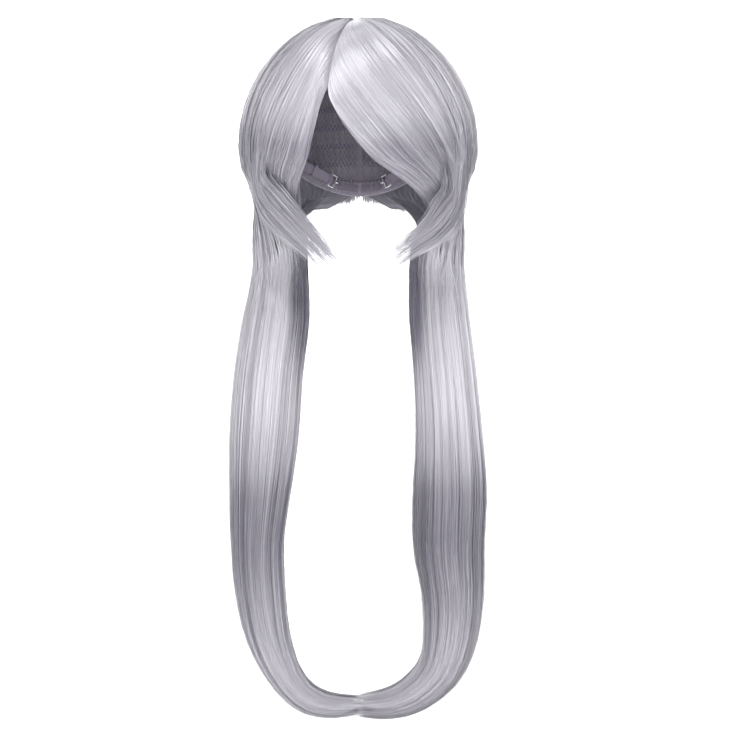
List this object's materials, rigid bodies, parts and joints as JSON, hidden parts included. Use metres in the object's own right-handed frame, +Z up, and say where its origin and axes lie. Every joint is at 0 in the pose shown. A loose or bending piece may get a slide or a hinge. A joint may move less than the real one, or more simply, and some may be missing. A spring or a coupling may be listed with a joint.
{
  "type": "long costume wig",
  "caption": "Long straight costume wig on a stretch cap, with an off-centre parting, a swept fringe, face locks and two long front panels.",
  "frame": {"origin": "centre of the cap's head opening at ear level, where a head holds the wig", "axes": "+Z up through the crown, -Y the way the face looks, +X to the right seen from the front"},
  "size_m": [0.2408, 0.2295, 0.6904],
  "materials": {
    "hair": "glossy straight synthetic fibre",
    "hair_under": "glossy straight synthetic fibre, shaded",
    "skin_patch": "matt fine mesh",
    "lace": "open stretch lace",
    "cap_band": "matt soft tape",
    "elastic_tape": "ribbed elastic",
    "weft_track": "stitched hair track",
    "hook_metal": "satin"
  },
  "bodies": {
    "wig": {"crown_patch": "skin_patch", "front_net_left": "lace", "front_net_right": "lace", "back_net_left": "lace", "back_net_right": "lace", "front_band": "cap_band", "nape_band": "cap_band", "rib_front_centre": "elastic_tape", "rib_side_left": "elastic_tape", "rib_side_right": "elastic_tape", "rib_back_left": "elastic_tape", "rib_back_right": "elastic_tape", "rib_back_centre": "elastic_tape", "weft_row_01": "weft_track", "weft_row_02": "weft_track", "weft_row_03": "weft_track", "weft_row_04": "weft_track", "weft_row_05": "weft_track", "weft_row_06": "weft_track", "weft_row_07": "weft_track", "weft_row_08": "weft_track", "weft_row_09": "weft_track", "weft_row_10": "weft_track", "loop_tape_left": "elastic_tape", "loop_tape_right": "elastic_tape", "strap_keeper_left": "elastic_tape", "strap_keeper_right": "elastic_tape", "crown_hair_left": "hair", "crown_hair_right": "hair", "side_hair_left": "hair", "side_hair_right": "hair", "back_crown_left": "hair", "back_crown_right": "hair", "back_hair_left": "hair", "back_hair_right": "hair", "nape_hair_left": "hair_under", "nape_hair_right": "hair_under"},
    "panel_left": {"long_panel_outer_left": "hair", "long_panel_inner_left": "hair", "long_panel_under_left": "hair_under"},
    "lock_left": {"face_lock_left": "hair"},
    "tab_left": {"ear_tab_left": "cap_band", "ear_stay_left": "hook_metal"},
    "strap_left": {"adjuster_strap_left": "elastic_tape"},
    "hook_left": {"strap_hook_left": "hook_metal"},
    "panel_right": {"long_panel_outer_right": "hair", "long_panel_inner_right": "hair", "long_panel_under_right": "hair_under"},
    "lock_right": {"face_lock_right": "hair"},
    "tab_right": {"ear_tab_right": "cap_band", "ear_stay_right": "hook_metal"},
    "strap_right": {"adjuster_strap_right": "elastic_tape"},
    "hook_right": {"strap_hook_right": "hook_metal"},
    "fringe_right": {"fringe_sweep": "hair"},
    "fringe_left": {"fringe_left": "hair"}
  },
  "joints": [
    {"name": "panel_left_swing", "type": "hinge", "parent": "wig", "child": "panel_left", "pos_m": [-0.078, -0.016, -0.092], "axis": [-1, 0, 0], "range_deg": [0, 40]},
    {"name": "panel_right_swing", "type": "hinge", "parent": "wig", "child": "panel_right", "pos_m": [0.078, -0.016, -0.092], "axis": [-1, 0, 0], "range_deg": [0, 40]},
    {"name": "lock_left_swing", "type": "hinge", "parent": "wig", "child": "lock_left", "pos_m": [-0.088, -0.066, 0], "axis": [0, 0, -1], "range_deg": [0, 35]},
    {"name": "lock_right_swing", "type": "hinge", "parent": "wig", "child": "lock_right", "pos_m": [0.091, -0.06, -0.05], "axis": [0, 0, 1], "range_deg": [0, 35]},
    {"name": "fringe_right_lift", "type": "hinge", "parent": "wig", "child": "fringe_right", "pos_m": [0.0298, -0.0762, 0.0887], "axis": [-0.9397, -0.342, 0], "range_deg": [0, 25]},
    {"name": "fringe_left_lift", "type": "hinge", "parent": "wig", "child": "fringe_left", "pos_m": [-0.0617, -0.0573, 0.0887], "axis": [-0.7071, 0.7071, 0], "range_deg": [0, 25]},
    {"name": "tab_left_flex", "type": "hinge", "parent": "wig", "child": "tab_left", "pos_m": [-0.07167, -0.02031, 0.02806], "axis": [0.206, -0.8092, 0.5502], "range_deg": [0, 12]},
    {"name": "strap_left_stretch", "type": "slide", "parent": "wig", "child": "strap_left", "axis": [0.6775, 0.5889, -0.4407], "range_m": [0, 0.006], "stiffness_N_per_m": 40},
    {"name": "hook_left_swivel", "type": "hinge", "parent": "strap_left", "child": "hook_left", "pos_m": [-0.02973, 0.0708, -0.025], "axis": [-0.3851, -0.2265, -0.8946], "range_deg": [0, 50]},
    {"name": "tab_right_flex", "type": "hinge", "parent": "wig", "child": "tab_right", "pos_m": [0.07167, -0.02031, 0.02806], "axis": [0.206, 0.8092, -0.5502], "range_deg": [0, 12]},
    {"name": "strap_right_stretch", "type": "slide", "parent": "wig", "child": "strap_right", "axis": [-0.6775, 0.5889, -0.4407], "range_m": [0, 0.006], "stiffness_N_per_m": 40},
    {"name": "hook_right_swivel", "type": "hinge", "parent": "strap_right", "child": "hook_right", "pos_m": [0.02973, 0.0708, -0.025], "axis": [-0.3851, 0.2265, 0.8946], "range_deg": [0, 50]}
  ]
}
